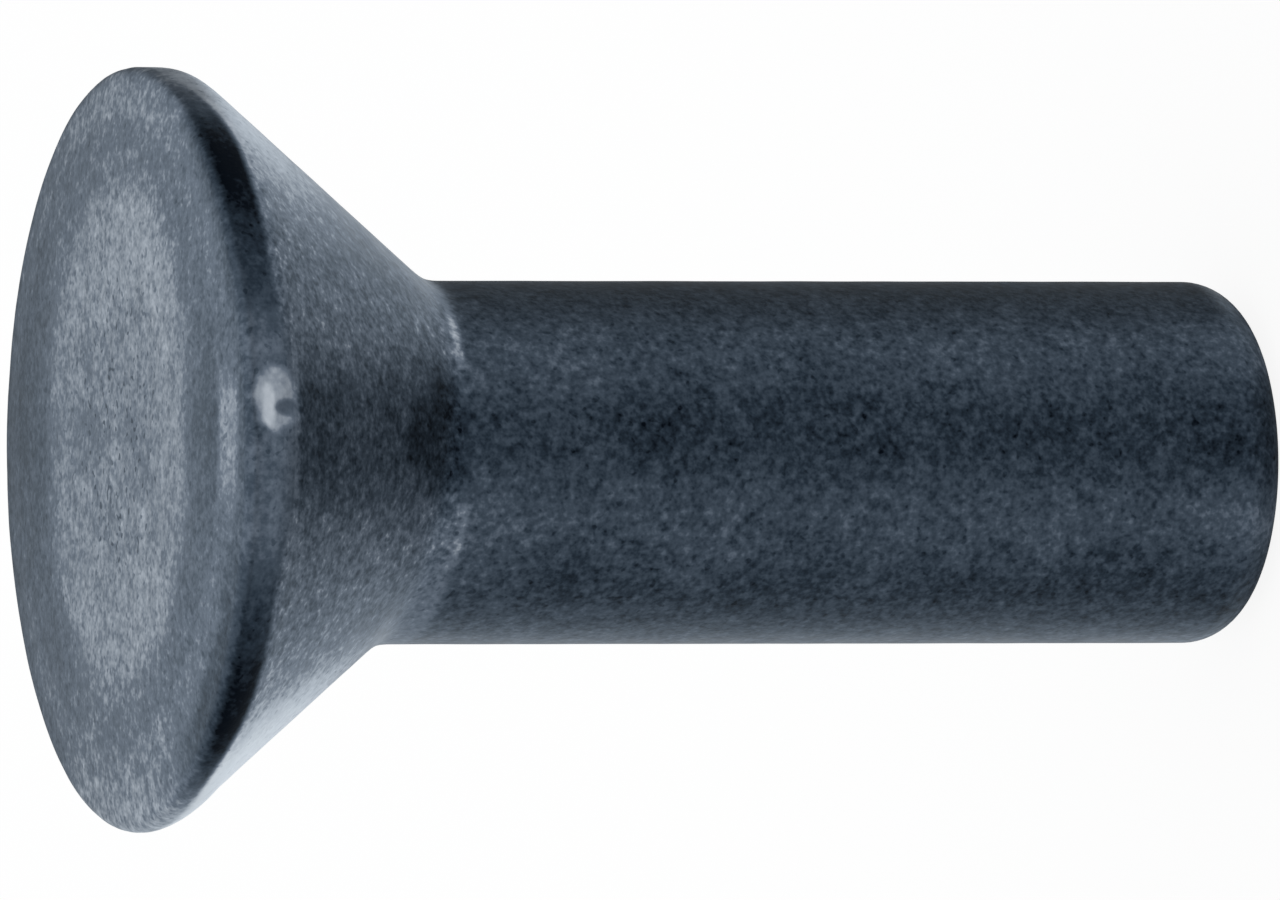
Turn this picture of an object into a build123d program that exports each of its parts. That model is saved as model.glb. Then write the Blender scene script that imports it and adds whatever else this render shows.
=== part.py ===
"""Solid countersunk rivet, cold headed from one cut length of plain steel wire.

The rivet stands on the flat end of its tail. The shank's axis is +Z, and the origin is the centre
of that end. The punch struck the head a little off the shank's axis, towards +X. All sizes are in
millimetres.
"""
from build123d import *
import os
from math import asin, cos, degrees, radians, sin, tan

# The wire, and the length of the blank that is left once the head is formed
SHANK_DIAMETER = 5.0
LENGTH = 16.0  # from the end of the tail up to the head's widest line

# The head: a cone that sits in the countersink, and a face that ends up flush with the sheet
HEAD_DIAMETER = 10.5
HEAD_OFFSET = 0.3  # from the shank's axis to the head's
SEAT_ANGLE = 79.0  # included angle of the cone
FACE_FLAT_DIAMETER = 5.2  # flat in the middle of the face, where the punch bears
CROWN_RADIUS = 16.0  # shallow dome from that flat out to the edge of the face

# The rounds that heading and tumbling leave, none of them cut
TAIL_RADIUS = 0.75  # edge of the tail, worn round against other rivets
NECK_RADIUS = 0.8  # fillet that carries the cone into the shank
RIM_BACK_RADIUS = 0.85  # start of the cone, where metal didn't fill the die
RIM_LAND = 0.04  # short straight band at the widest line
RIM_FRONT_RADIUS = 0.17  # edge of the face, where metal did fill the die

SHANK_R = SHANK_DIAMETER / 2
HEAD_R = HEAD_DIAMETER / 2
FACE_FLAT_R = FACE_FLAT_DIAMETER / 2
HALF_SEAT = SEAT_ANGLE / 2


def shank():
    """The wire from its worn end up to the head's widest line, where the head hides its end."""
    wire = extrude(Circle(SHANK_R), LENGTH)
    return fillet(wire.faces().sort_by(Axis.Z)[0].edges(), TAIL_RADIUS)


def crown_slope():
    """How steeply the face falls at its edge, where the dome meets the rim's front round."""
    dome_width = HEAD_R - RIM_FRONT_RADIUS - FACE_FLAT_R
    return degrees(asin(dome_width / (CROWN_RADIUS - RIM_FRONT_RADIUS)))


def head_half_section():
    """Half of the head's section: the cone from its point, inside the shank, and then a chain
    of lines and arcs, each tangent to the last, over the rim to the middle of the face."""
    slope = radians(HALF_SEAT)
    cone_end_r = HEAD_R - RIM_BACK_RADIUS * (1 - cos(slope))
    cone_end_height = LENGTH - RIM_LAND - RIM_BACK_RADIUS * sin(slope)
    point_height = cone_end_height - cone_end_r / tan(slope)
    with BuildSketch(Plane.XZ) as section:
        with BuildLine():
            cone = Line((0, point_height), (cone_end_r, cone_end_height))
            rim_back = JernArc(cone @ 1, cone % 1, RIM_BACK_RADIUS, HALF_SEAT)
            rim_land = Line(rim_back @ 1, (HEAD_R, LENGTH))
            rim_front = JernArc(rim_land @ 1, rim_land % 1, RIM_FRONT_RADIUS, 90 - crown_slope())
            crown = JernArc(rim_front @ 1, rim_front % 1, CROWN_RADIUS, crown_slope())
            face = Line(crown @ 1, (0, (crown @ 1).Y))
            Line(face @ 1, cone @ 0)
        make_face()
    return section.sketch


def head():
    """The head, turned about its own axis."""
    return Pos(HEAD_OFFSET, 0, 0) * revolve(head_half_section(), axis=Axis.Z)


def rivet():
    """The rivet: head and shank in one, with the fillet run round the line where they meet."""
    wire, struck = shank(), head()
    joined = wire + struck
    neck = new_edges(wire, struck, combined=joined)
    return fillet(neck, NECK_RADIUS)


os.makedirs("parts", exist_ok=True)
export_step(rivet(), "parts/rivet.step")
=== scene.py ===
from math import asin, cos, pi, radians, sin, sqrt, tan

import bmesh
import bpy
from mathutils import Matrix, Vector


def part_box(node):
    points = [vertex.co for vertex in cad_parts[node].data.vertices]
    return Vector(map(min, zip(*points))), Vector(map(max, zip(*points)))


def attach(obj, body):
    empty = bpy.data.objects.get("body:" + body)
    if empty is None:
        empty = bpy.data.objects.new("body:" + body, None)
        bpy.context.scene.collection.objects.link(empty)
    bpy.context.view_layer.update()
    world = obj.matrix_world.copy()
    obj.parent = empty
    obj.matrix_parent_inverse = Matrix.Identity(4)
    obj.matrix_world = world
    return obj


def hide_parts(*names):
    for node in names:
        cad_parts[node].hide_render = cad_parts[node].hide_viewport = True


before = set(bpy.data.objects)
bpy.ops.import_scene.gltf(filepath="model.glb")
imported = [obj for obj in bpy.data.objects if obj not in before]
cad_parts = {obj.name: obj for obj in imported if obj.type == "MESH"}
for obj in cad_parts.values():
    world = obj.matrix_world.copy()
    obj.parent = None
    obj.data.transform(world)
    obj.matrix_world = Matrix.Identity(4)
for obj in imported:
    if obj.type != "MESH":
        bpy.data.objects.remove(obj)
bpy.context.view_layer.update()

# ---- The rivet --------------------------------------------------------------------------------
# One length of plain steel wire with its head struck up cold, so the face, the cone and the
# shank are one skin. The dark coat it was drawn in is still on it, rubbed where the punch bore on the
# face and where the rim has knocked against other rivets. Painted highlights, reflections and shade
# lie on the coat as well.

mm = 0.001
rivet_low, rivet_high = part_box("rivet")
head_r = (rivet_high.x - rivet_low.x) / 2
head_offset = (rivet_high.x + rivet_low.x) / 2
die_x = head_offset + 0.08 * mm
face_height = rivet_high.z
shank_r = 2.5 * mm
seat_angle = radians(79)
half_seat = seat_angle / 2
face_flat_r = 2.6 * mm
crown_radius = 16 * mm
rim_front_radius = 0.17 * mm
rim_land = 0.04 * mm
rim_back_radius = 0.85 * mm
neck_radius = 0.8 * mm
tail_radius = 0.75 * mm

crown_slope = asin((head_r - rim_front_radius - face_flat_r) / (crown_radius - rim_front_radius))
crown_corner_r = face_flat_r + crown_radius * tan(crown_slope / 2)
rim_front = face_height - (head_r - crown_corner_r) * tan(crown_slope)
widest = rim_front - rim_front_radius * tan((pi / 2 - crown_slope) / 2)
rim_back = widest - rim_land - rim_back_radius * tan(half_seat / 2)
neck = rim_back - (head_r - shank_r) / tan(half_seat)
cone_top = rim_back - rim_back_radius * tan(half_seat / 2) * cos(half_seat)

# Sharp corners of half the lengthwise section, each with the radius of its round
corners = [
    ((0, 0), 0),
    ((shank_r, 0), tail_radius),
    ((shank_r, neck), neck_radius),
    ((head_r, rim_back), rim_back_radius),
    ((head_r, rim_front), rim_front_radius),
    ((crown_corner_r, face_height), crown_radius),
    ((0, face_height), 0),
]
outline_mesh = bpy.data.meshes.new("rivet_outline")
outline_mesh.from_pydata(
    [(across, 0, up) for (across, up), _ in corners],
    [(i, i + 1) for i in range(len(corners) - 1)],
    [],
)
corner_rounds = outline_mesh.attributes.new("round", "FLOAT", "POINT")
corner_rounds.data.foreach_set("value", [radius for _, radius in corners])


class Wire:
    """A node's socket that can stand in a sum: + - * / with a number or a wire adds a Math node."""

    def __init__(self, socket):
        self.socket = socket
        self.tree = socket.id_data

    @staticmethod
    def node(tree, kind, settings=(), sockets=(), out=0):
        """Any node: its settings first, such as an operation, then what its sockets hold."""
        made = tree.nodes.new(kind)
        for name, value in dict(settings).items():
            setattr(made, name, value)
        for name, value in dict(sockets).items():
            if isinstance(value, Wire):
                tree.links.new(value.socket, made.inputs[name])
            else:
                made.inputs[name].default_value = value
        return Wire(made.outputs[out])

    def math(self, operation, *others):
        """This value through a Math node, with the others as its further inputs."""
        sockets = enumerate((self, *others))
        return Wire.node(self.tree, "ShaderNodeMath", {"operation": operation}, sockets)

    def __add__(self, other):
        return self.math("ADD", other)

    def __sub__(self, other):
        return self.math("SUBTRACT", other)

    def __rsub__(self, other):
        return Wire.node(self.tree, "ShaderNodeMath", {"operation": "SUBTRACT"}, {0: other, 1: self})

    def __mul__(self, other):
        return self.math("MULTIPLY", other)

    def __truediv__(self, other):
        return self.math("DIVIDE", other)

    def ramp(self, start, end, low=0.0, high=1.0):
        """Eases from low to high while this value goes from start to end."""
        settings = {"interpolation_type": "SMOOTHSTEP"}
        span = {"Value": self, "From Min": start, "From Max": end, "To Min": low, "To Max": high}
        return Wire.node(self.tree, "ShaderNodeMapRange", settings, span)

    def band(self, start, end, soft):
        """One between start and end, and easing to nothing over the soft width outside them."""
        return self.ramp(start - soft, start) * self.ramp(end + soft, end)

    __radd__ = __add__
    __rmul__ = __mul__


def grain(place, size, detail=2.0, roughness=0.5, seed=0.0):
    """Soft lumps about this size across, as a value round 0, on a place in metres."""
    wave = {"Vector": place, "W": seed, "Scale": 1 / size, "Detail": detail, "Roughness": roughness}
    return Wire.node(place.tree, "ShaderNodeTexNoise", {"noise_dimensions": "4D"}, wave) - 0.5


def about_axis(place, axis_x):
    """A place's distance from an upright axis, its height, and its turn round from the -Y side."""
    x, y, z = (Wire.node(place.tree, "ShaderNodeSeparateXYZ", (), {0: place}, out) for out in range(3))
    x = x - axis_x
    return (x * x + y * y).math("SQRT"), z, x.math("ARCTAN2", y * -1)


def nick(place):
    """The one deep knock on the rim: masks of its floor, its painted highlight and its pocket."""
    nick_turn = radians(5.6)
    nick_height = widest - 0.27 * mm
    _, height, turn = about_axis(place, die_x)
    along = (turn - nick_turn) * head_r
    up = height - nick_height

    def oval(along_shift, up_shift, along_weight, up_weight):
        """Distance from a spot beside the knock's middle, each way with its own weight."""
        off_along = along + along_shift
        off_up = up + up_shift
        return (off_along * off_along * along_weight + off_up * off_up * up_weight).math("SQRT")

    ragged_edge = grain(place, 0.35 * mm, detail=1.0, seed=21.0) * (0.25 * mm)
    floor_mask = (oval(0, 0, 1.0, 2.0) + ragged_edge).ramp(0.56 * mm, 0.36 * mm)
    highlight_mask = (oval(0.08 * mm, -0.12 * mm, 0.5, 4.0) + ragged_edge).ramp(0.28 * mm, 0.08 * mm)
    pocket_mask = oval(0.13 * mm, 0.2 * mm, 1.8, 0.6).ramp(0.21 * mm, 0.1 * mm)
    return floor_mask, highlight_mask, pocket_mask


# The forming tree turns the outline into a skin, then raises the marks of forming on it
forming = bpy.data.node_groups.new("cold_heading", "GeometryNodeTree")
sizes = {
    "Rings": ("NodeSocketInt", 330),
    "Segments": ("NodeSocketInt", 300),
    "Head offset": ("NodeSocketFloat", head_offset),
    "Rim slip": ("NodeSocketFloat", 0.125 * mm),
    "Forging relief": ("NodeSocketFloat", 0.02 * mm),
    "Shear relief": ("NodeSocketFloat", 0.025 * mm),
    "Nick depth": ("NodeSocketFloat", 0.035 * mm),
    "Seed": ("NodeSocketFloat", 7.0),
    "Steel": ("NodeSocketMaterial", None),
}
forming.interface.new_socket("Outline", in_out="INPUT", socket_type="NodeSocketGeometry")
size_sockets = {
    name: forming.interface.new_socket(name, in_out="INPUT", socket_type=kind)
    for name, (kind, _) in sizes.items()
}
forming.interface.new_socket("Rivet", in_out="OUTPUT", socket_type="NodeSocketGeometry")
group_in = forming.nodes.new("NodeGroupInput")
given = {socket.name: Wire(socket) for socket in group_in.outputs if socket.name}

steps_per_round = 24
merge_distance = 0.001 * mm
round_of_corner = Wire.node(
    forming, "GeometryNodeInputNamedAttribute", {"data_type": "FLOAT"}, {"Name": "round"}
)
outline = Wire.node(forming, "GeometryNodeMeshToCurve", (), {"Mesh": given["Outline"]})
outline = Wire.node(
    forming,
    "GeometryNodeFilletCurve",
    {"mode": "POLY"},
    {"Curve": outline, "Count": steps_per_round, "Radius": round_of_corner, "Limit Radius": False},
)
turns = Wire.node(forming, "ShaderNodeMath", {"operation": "ADD"}, {0: given["Segments"], 1: 1})
blank = Wire.node(
    forming,
    "GeometryNodeMeshGrid",
    (),
    {"Size X": 1.0, "Size Y": 1.0, "Vertices X": turns, "Vertices Y": given["Rings"]},
)
on_grid = Wire.node(forming, "GeometryNodeInputPosition")
turn = Wire.node(forming, "ShaderNodeSeparateXYZ", (), {0: on_grid}, 0) + 0.5
along = Wire.node(forming, "ShaderNodeSeparateXYZ", (), {0: on_grid}, 1) + 0.5
on_outline = Wire.node(
    forming, "GeometryNodeSampleCurve", {"mode": "FACTOR"}, {"Curves": outline, "Factor": along}, "Position"
)
turned = Wire.node(
    forming,
    "ShaderNodeVectorRotate",
    {"rotation_type": "Z_AXIS"},
    {"Vector": on_outline, "Angle": turn * (2 * pi)},
)
height = Wire.node(forming, "ShaderNodeSeparateXYZ", (), {0: on_outline}, 2)
in_head = height.math("GREATER_THAN", neck) * given["Head offset"]
in_rim = height.ramp(cone_top - 0.15 * mm, widest - 0.05 * mm) * given["Rim slip"]
shift = Wire.node(forming, "ShaderNodeCombineXYZ", (), {"X": in_head - in_rim})
on_parts = Wire.node(forming, "ShaderNodeVectorMath", {"operation": "ADD"}, {0: turned, 1: shift})

# Round the neck, the shank and the off-centre cone meet along a slanting line, under one fillet.
# A smooth maximum fills a corner by a sixth of its reach, so this reach fills it as the fillet does
cone_r = ((height - neck) * tan(half_seat) + shank_r).math("MAXIMUM", shank_r / 2)
aside = (turn * (2 * pi)).math("COSINE")
across = (turn * (2 * pi)).math("SINE")
off_axis = across * given["Head offset"]
cone_reach = aside * given["Head offset"] + (cone_r * cone_r - off_axis * off_axis).math("SQRT")
fillet_reach = 6 * neck_radius * (1 - sqrt(1 - tan(half_seat / 2) ** 2))
reach = cone_reach.math("SMOOTH_MAX", shank_r, fillet_reach)
on_neck = Wire.node(
    forming, "ShaderNodeCombineXYZ", (), {"X": aside * reach, "Y": across * reach, "Z": height}
)
near_neck = height.band(neck - 1.5 * mm, neck + 0.8 * mm, 0.8 * mm)
on_rivet = Wire.node(
    forming,
    "ShaderNodeMix",
    {"data_type": "VECTOR"},
    {0: near_neck, 4: on_parts, 5: on_neck},
    1,
)
skin = Wire.node(forming, "GeometryNodeSetPosition", (), {"Geometry": blank, "Position": on_rivet})
skin = Wire.node(forming, "GeometryNodeMergeByDistance", (), {"Geometry": skin, "Distance": merge_distance})

# Soft lumps all over fade out at the tail's flat end and grow towards the rim. The metal that the
# punch tore is in the middle of the face
place = Wire.node(forming, "GeometryNodeInputPosition")
seed = given["Seed"]
from_axis, height, _ = about_axis(place, die_x)
punched = from_axis.ramp(face_flat_r + 0.5 * mm, face_flat_r - 0.4 * mm) * height.ramp(widest, rim_front)
lumps = grain(place, 0.9 * mm, seed=seed) * given["Forging relief"]
lumps = lumps * height.ramp(0.0, tail_radius, 0.0, 0.5) * height.ramp(neck, widest, 1.0, 2.0)
torn = grain(place, 0.3 * mm, detail=3.0, roughness=0.6, seed=seed + 3.0) * given["Shear relief"]
nick_floor, _, nick_pocket = nick(place)
relief = lumps + torn * punched - (nick_floor + nick_pocket) * given["Nick depth"]
outward = Wire.node(forming, "GeometryNodeInputNormal")
raised = Wire.node(forming, "ShaderNodeVectorMath", {"operation": "SCALE"}, {0: outward, "Scale": relief})
skin = Wire.node(forming, "GeometryNodeSetPosition", (), {"Geometry": skin, "Offset": raised})
skin = Wire.node(forming, "GeometryNodeSetShadeSmooth", (), {"Geometry": skin})
skin = Wire.node(forming, "GeometryNodeRealizeInstances", (), {"Geometry": skin})
skin = Wire.node(forming, "GeometryNodeSetMaterial", (), {"Geometry": skin, "Material": given["Steel"]})
group_out = forming.nodes.new("NodeGroupOutput")
forming.links.new(skin.socket, group_out.inputs["Rivet"])

# The finish: one share sets the colour, from unbroken scale at 0 to steel with no scale left at 1 and
# above, and painted light and shade are added to it as well. Every _tone value is such a share, and each
# weight in it is what a mark adds to it or takes away
steel = bpy.data.materials.new("dark_drawn_steel")
steel.use_nodes = True
coat = steel.node_tree
surface = coat.nodes["Principled BSDF"]
place = Wire.node(coat, "ShaderNodeTexCoord", (), (), "Object")
from_axis, height, turn = about_axis(place, die_x)
away = turn.math("ABSOLUTE")
lean = turn.math("SINE")
sideways = lean.math("ABSOLUTE")
fine = grain(place, 0.065 * mm, detail=1.0, seed=1.0) + grain(place, 0.15 * mm, detail=1.0, seed=2.0)
specks = grain(place, 0.1 * mm, detail=0.0, seed=13.0).ramp(0.17, 0.26)
mottle = grain(place, 0.45 * mm, seed=5.0)
cloud = grain(place, 1.6 * mm, seed=9.0)

# The finish changes where the die ended below the neck, at the top of the seat, which is lowest in
# front, and at the face
die_end = neck - 0.27 * mm
die_blur = 0.13 * mm
die_tilt = 0.2 * mm
in_die = (height + lean * lean * lean * die_tilt).ramp(die_end - die_blur, die_end + die_blur)
die_edge = in_die * (1 - in_die) * 4
seat_front = cone_top - 0.03 * mm
seat_rise = 0.22 * mm
side_rise = 0.28 * mm
seat_blur = 0.08 * mm
to_side = turn.ramp(radians(44), radians(82)) + turn.ramp(radians(-32), radians(-70))
to_side = to_side * to_side * (3 - to_side * 2)
seat_end = away.ramp(radians(8), radians(23)) * seat_rise + seat_front + to_side * side_rise
past_seat = (height - seat_end).ramp(-seat_blur, seat_blur)
on_face = height.ramp(widest - 0.02 * mm, rim_front + 0.04 * mm)

# Along the shank run faint streaks, painted reflection bands set six times round it
streak_count = 6
first_streak = radians(20)
_, _, shank_turn = about_axis(place, 0.0)
reflection_streaks = ((shank_turn + cloud * 0.4 + first_streak) * streak_count).math("COSINE") * 0.5 + 0.5
by_tail = height.ramp(1.7 * mm, 0.6 * mm)
by_neck = height.ramp(neck - 3.5 * mm, neck - 0.8 * mm)
# Painted sheen lightens the sides of the shank and cone, most of all at -X
side_sheen = away.ramp(radians(44), radians(60)) * turn.ramp(radians(76), radians(62))
# By the tail the shank is painted darker, a painted shade of the floor at its foot, with stronger streaks;
# towards the neck it is lighter
shank_tone = reflection_streaks * 0.18 + 0.245 + side_sheen * 0.06 + by_neck * 0.04 + by_tail * (reflection_streaks * 0.14 - 0.06)
shank_tone = shank_tone + fine * 0.55

# On the cone, a painted dark reflection lies in front, and by the neck a painted shade deepens it between
# two painted highlights, crescents on the fillet. Under the rim, at either side, a stretch is painted
# bright, a painted highlight, and more so at -X. A thin bright line closes the seat in front
neck_shade_middle = neck + 0.1 * mm
neck_shade_half_height = 1.3 * mm
below_top = cone_top - height
across = (sideways * from_axis) / mm
neck_shade_up = (height - neck_shade_middle).math("ABSOLUTE") / neck_shade_half_height
# Painted shade in the corner where the shank meets the cone
neck_shade = (neck_shade_up + across / 1.1 + mottle * 0.6).ramp(1.15, 0.4)
# Painted dark reflection down the front of the cone
front_dark_reflection = (across + mottle * 0.5).ramp(1.5, 0.4) * below_top.ramp(1.3 * mm, 0.6 * mm, 1.0, 1.5)
# Painted highlights: two crescents on the fillet, the upper one brighter
fillet_highlights = across.band(1.05, 1.5, 0.3) * (lean * 0.15 + 0.25)
fillet_highlights = fillet_highlights + away.ramp(radians(30), radians(50)) * 0.08
# Painted highlights on the cone's sides under the rim, and a further one low at -X
highlight_turn = away.ramp(radians(29), radians(60)) * away.ramp(radians(150), radians(100), 0.3, 1.0)
seat_highlight = below_top.ramp(2.2 * mm, 0.2 * mm) * highlight_turn
low_highlight = below_top.ramp(2.8 * mm, 1.2 * mm) * turn.band(radians(-100), radians(-62), radians(18))
seat_line = below_top.band(0.01 * mm, 0.07 * mm, 0.05 * mm) * away.ramp(radians(20), radians(10))
cone_tone = 0.61 - front_dark_reflection * 0.17 - neck_shade * 0.27
cone_tone = cone_tone + side_sheen * 0.05 + seat_highlight * 0.35 + low_highlight * 0.24
cone_tone = cone_tone + fine * (0.7 - highlight_turn * 0.3 - seat_highlight * 0.2 - die_edge * 0.3)

# Round the rim, a stretch at either side of the front is painted near black, a painted dark reflection.
# The front between them and the whole far side are lighter, most of all at -X, where it is a painted
# highlight
dark_reflection = away.ramp(radians(13), radians(26)) * 0.5 + away.ramp(radians(25), radians(45)) * 0.5
dark_reflection = dark_reflection * away.ramp(radians(69), radians(47))
low_side = turn.band(radians(-110), radians(-76), radians(12))
far_side = away.ramp(radians(60), radians(76))
rim_tone = 0.58 - dark_reflection * 0.62 + far_side * 0.26 + low_side * 0.07 + fine * 0.35

# On the face, a ragged disc and a lip are lighter. The disc is partly where the punch bore hardest and
# partly a painted reflection, brightest in front and dimmer at the sides; the lip carries a painted
# highlight, most of all at the near side. The face is painted lighter towards its sides
ragged = from_axis - turn.math("COSINE") * (0.27 * mm) - sideways * (0.47 * mm) + mottle * (0.8 * mm)
disc = ragged.ramp(3.1 * mm, 2.75 * mm) * 0.1 + ragged.ramp(3.6 * mm, 2.4 * mm) * 0.13
disc = disc * (1.07 - sideways * 0.44 + away.ramp(radians(100), radians(40)) * 0.2)
middle = ragged.ramp(2.2 * mm, 0.8 * mm)
lip = from_axis.band(4.42 * mm, 4.77 * mm, 0.25 * mm) * (away.ramp(radians(19), radians(3)) * 0.23 + 0.07)
edge = from_axis.ramp(4.6 * mm, 5.1 * mm)
face_tone = 0.52 + sideways * 0.19 + lean * 0.01 + disc - middle * 0.05 + lip
# At the edge, a painted highlight at -X, and the rim's painted dark reflection runs onto it
face_tone = face_tone + edge * (low_side * 0.15 - dark_reflection * 0.25)
face_tone = face_tone + mottle * 0.07 - specks * middle * 0.2 + fine * (0.47 - disc * 0.5 - lip * 0.5)

tone = shank_tone * (1 - in_die) + cone_tone * in_die + fillet_highlights * die_edge
tone = tone * (1 - past_seat) + rim_tone * past_seat + seat_line * 0.16
tone = tone * (1 - on_face) + face_tone * on_face
tone = tone + mottle * 0.15 + cloud * 0.15 - specks * 0.12
nick_floor, nick_highlight, nick_pocket = nick(place)
# The knock's floor is worn lighter; its painted highlight is brighter, and painted shade darkens its pocket
nick_tone = 0.86 + nick_highlight * 0.18 - nick_pocket * 0.28 + fine * 0.15
tone = tone * (1 - nick_floor) + nick_floor * nick_tone
shades = {
    0.0: (0.0022, 0.0038, 0.0068),
    0.25: (0.0205, 0.031, 0.045),
    0.5: (0.0555, 0.075, 0.101),
    0.75: (0.13, 0.16, 0.203),
    1.0: (0.4, 0.44, 0.49),
    1.25: (0.6, 0.64, 0.68),
}
tint = coat.nodes.new("ShaderNodeValToRGB")
for i, (stop, shade) in enumerate(shades.items()):
    element = tint.color_ramp.elements[i] if i < 2 else tint.color_ramp.elements.new(stop)
    element.position = stop / max(shades)
    element.color = (*shade, 1)
coat.links.new((tone / max(shades)).socket, tint.inputs["Fac"])
coat.links.new(tint.outputs["Color"], surface.inputs["Base Color"])

# The scale on the tail's end is duller than metal, and so are the rim's painted dark reflections
tail_scale = height.ramp(tail_radius, 0.2 * mm)
rim_dark_reflection = dark_reflection * past_seat * (1 - on_face)
coat.links.new((0.92 - tail_scale * 0.8 - rim_dark_reflection * 0.55).socket, surface.inputs["Metallic"])
coat.links.new((0.4 + mottle * 0.2).socket, surface.inputs["Roughness"])
surface.inputs["Specular IOR Level"].default_value = 0.0
surface.inputs["Specular Tint"].default_value = (0.9, 0.955, 1.0, 1.0)
pitting = Wire.node(
    coat,
    "ShaderNodeBump",
    (),
    {"Strength": 1.0, "Distance": 0.006 * mm, "Height": grain(place, 0.1 * mm, roughness=0.6, seed=3.0)},
)
coat.links.new(pitting.socket, surface.inputs["Normal"])

rivet_outline = bpy.data.objects.new("rivet_outline", outline_mesh)
bpy.context.scene.collection.objects.link(rivet_outline)
heading = rivet_outline.modifiers.new("cold_heading", "NODES")
heading.node_group = forming
for name, (_, value) in sizes.items():
    heading[size_sockets[name].identifier] = steel if name == "Steel" else value
formed = rivet_outline.evaluated_get(bpy.context.evaluated_depsgraph_get())
skin_mesh = bpy.data.meshes.new_from_object(formed)
rivet_outline.modifiers.remove(heading)
bpy.data.objects.remove(rivet_outline)

edit = bmesh.new()
edit.from_mesh(skin_mesh)
bmesh.ops.remove_doubles(edit, verts=edit.verts, dist=merge_distance / 2)
bmesh.ops.recalc_face_normals(edit, faces=edit.faces)
edit.to_mesh(skin_mesh)
edit.free()
rivet_skin = bpy.data.objects.new("rivet_skin", skin_mesh)
bpy.context.scene.collection.objects.link(rivet_skin)
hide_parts("rivet")
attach(rivet_skin, "root")

# ---- The floor --------------------------------------------------------------------------------
# A wide sheet of white paper that the rivet stands on, a hair below it, so that the two don't
# flicker. It shows as white, with a trace of the rivet's shadow round its foot.

floor_r = 0.12
floor_gap = 0.01 * mm
paper_color = (0.9, 0.9, 0.9, 1)
paper_glow = 0.9
floor_mesh = bpy.data.meshes.new("floor")
edit = bmesh.new()
bmesh.ops.create_circle(edit, cap_ends=True, segments=96, radius=floor_r)
edit.to_mesh(floor_mesh)
edit.free()
floor = bpy.data.objects.new("floor", floor_mesh)
bpy.context.scene.collection.objects.link(floor)
floor.visible_glossy = False
floor.location.z = -floor_gap
paper = bpy.data.materials.new("white_paper")
paper.use_nodes = True
sheet = paper.node_tree
matt = sheet.nodes["Principled BSDF"]
matt.inputs["Base Color"].default_value = paper_color
matt.inputs["Roughness"].default_value = 1.0
seen = Wire.node(sheet, "ShaderNodeLightPath", (), (), "Is Camera Ray")
white = Wire.node(sheet, "ShaderNodeEmission", (), {"Strength": 1.0})
paper_look = Wire.node(
    sheet,
    "ShaderNodeMixShader",
    (),
    {0: seen * paper_glow, 1: Wire(matt.outputs[0]), 2: white},
)
sheet.links.new(paper_look.socket, sheet.nodes["Material Output"].inputs["Surface"])
floor.data.materials.append(paper)

# ---- The light --------------------------------------------------------------------------------
# A soft white room: bright paper below, a dimmer wall along the horizon with a lighter stretch in
# front, a broad light overhead, and a tall window on the -X side. The paper straight below is dimmer,
# where the rivet shades it.

world = bpy.data.worlds.new("studio")
bpy.context.scene.world = world
world.use_nodes = True
room = world.node_tree
background = room.nodes["Background"]
looking = Wire.node(room, "ShaderNodeTexCoord", (), (), "Generated")
x, y, z = (Wire.node(room, "ShaderNodeSeparateXYZ", (), {0: looking}, out) for out in range(3))
wall_light = 0.2
overhead_light = 0.95
front_light = 0.8
paper_light = 0.85
window_light = 0.75
shadow_share = 0.6


def rise(degrees):
    """The height of a direction this many degrees above the horizon."""
    return sin(radians(degrees))


overhead = z.ramp(0.0, rise(38), 0.0, overhead_light)
in_front = (y * -1).ramp(-0.6, 0.2, 0.0, front_light) * z.ramp(rise(12), rise(-5))
paper_below = z.ramp(rise(-20), rise(-32), 0.0, paper_light)
behind = x.math("ABSOLUTE").ramp(0.36, 0.2) * y.ramp(0.0, 0.5) * z.ramp(rise(-20), rise(-24))
window = x.ramp(-0.05, -0.38, 0.0, window_light) * y.ramp(-0.1, 0.4)
window = window * z.ramp(rise(25), 0.0) * z.ramp(rise(-28), rise(-21))
own_shadow = z.ramp(rise(-55), rise(-80), 1.0, shadow_share)
low_light = in_front.math("MAXIMUM", paper_below.math("MAXIMUM", behind))
light = (wall_light + low_light + window) * own_shadow + overhead
seen = Wire.node(room, "ShaderNodeLightPath", (), (), "Is Camera Ray")
strength = Wire.node(room, "ShaderNodeMix", (), {0: seen, 2: light, 3: 1.0}, 0)
room.links.new(strength.socket, background.inputs["Strength"])
cool_white = (0.99, 1, 1.01, 1)
plain_white = (1, 1, 1, 1)
sky_tint = Wire.node(
    room, "ShaderNodeMix", {"data_type": "RGBA"}, {0: seen, 6: cool_white, 7: plain_white}, 2
)
room.links.new(sky_tint.socket, background.inputs["Color"])

# ---- The camera -------------------------------------------------------------------------------
# A long lens looks a little down on the face, turned on its side so that the head is on the left.

view_tilt = radians(19.4)
frame_width = 17.553 * mm
left_margin = 1.873 * mm
axis_below_middle = 0.172 * mm
camera_data = bpy.data.cameras.new("camera")
camera_data.sensor_width = 36
camera_data.lens = 1100
camera = bpy.data.objects.new("camera", camera_data)
bpy.context.scene.collection.objects.link(camera)
bpy.context.scene.camera = camera
back = Vector((0, -cos(view_tilt), sin(view_tilt)))
up = Vector((1, 0, 0))
right = up.cross(back)
target = Vector((0, 0, widest)) + right * (frame_width / 2 - left_margin) + up * axis_below_middle
distance = frame_width * camera_data.lens / camera_data.sensor_width
turned = Matrix((right, up, back)).transposed().to_4x4()
camera.matrix_world = Matrix.Translation(target + back * distance) @ turned
camera_data.clip_start = 0.01
camera_data.clip_end = 10

bpy.context.scene.view_settings.view_transform = "Standard"
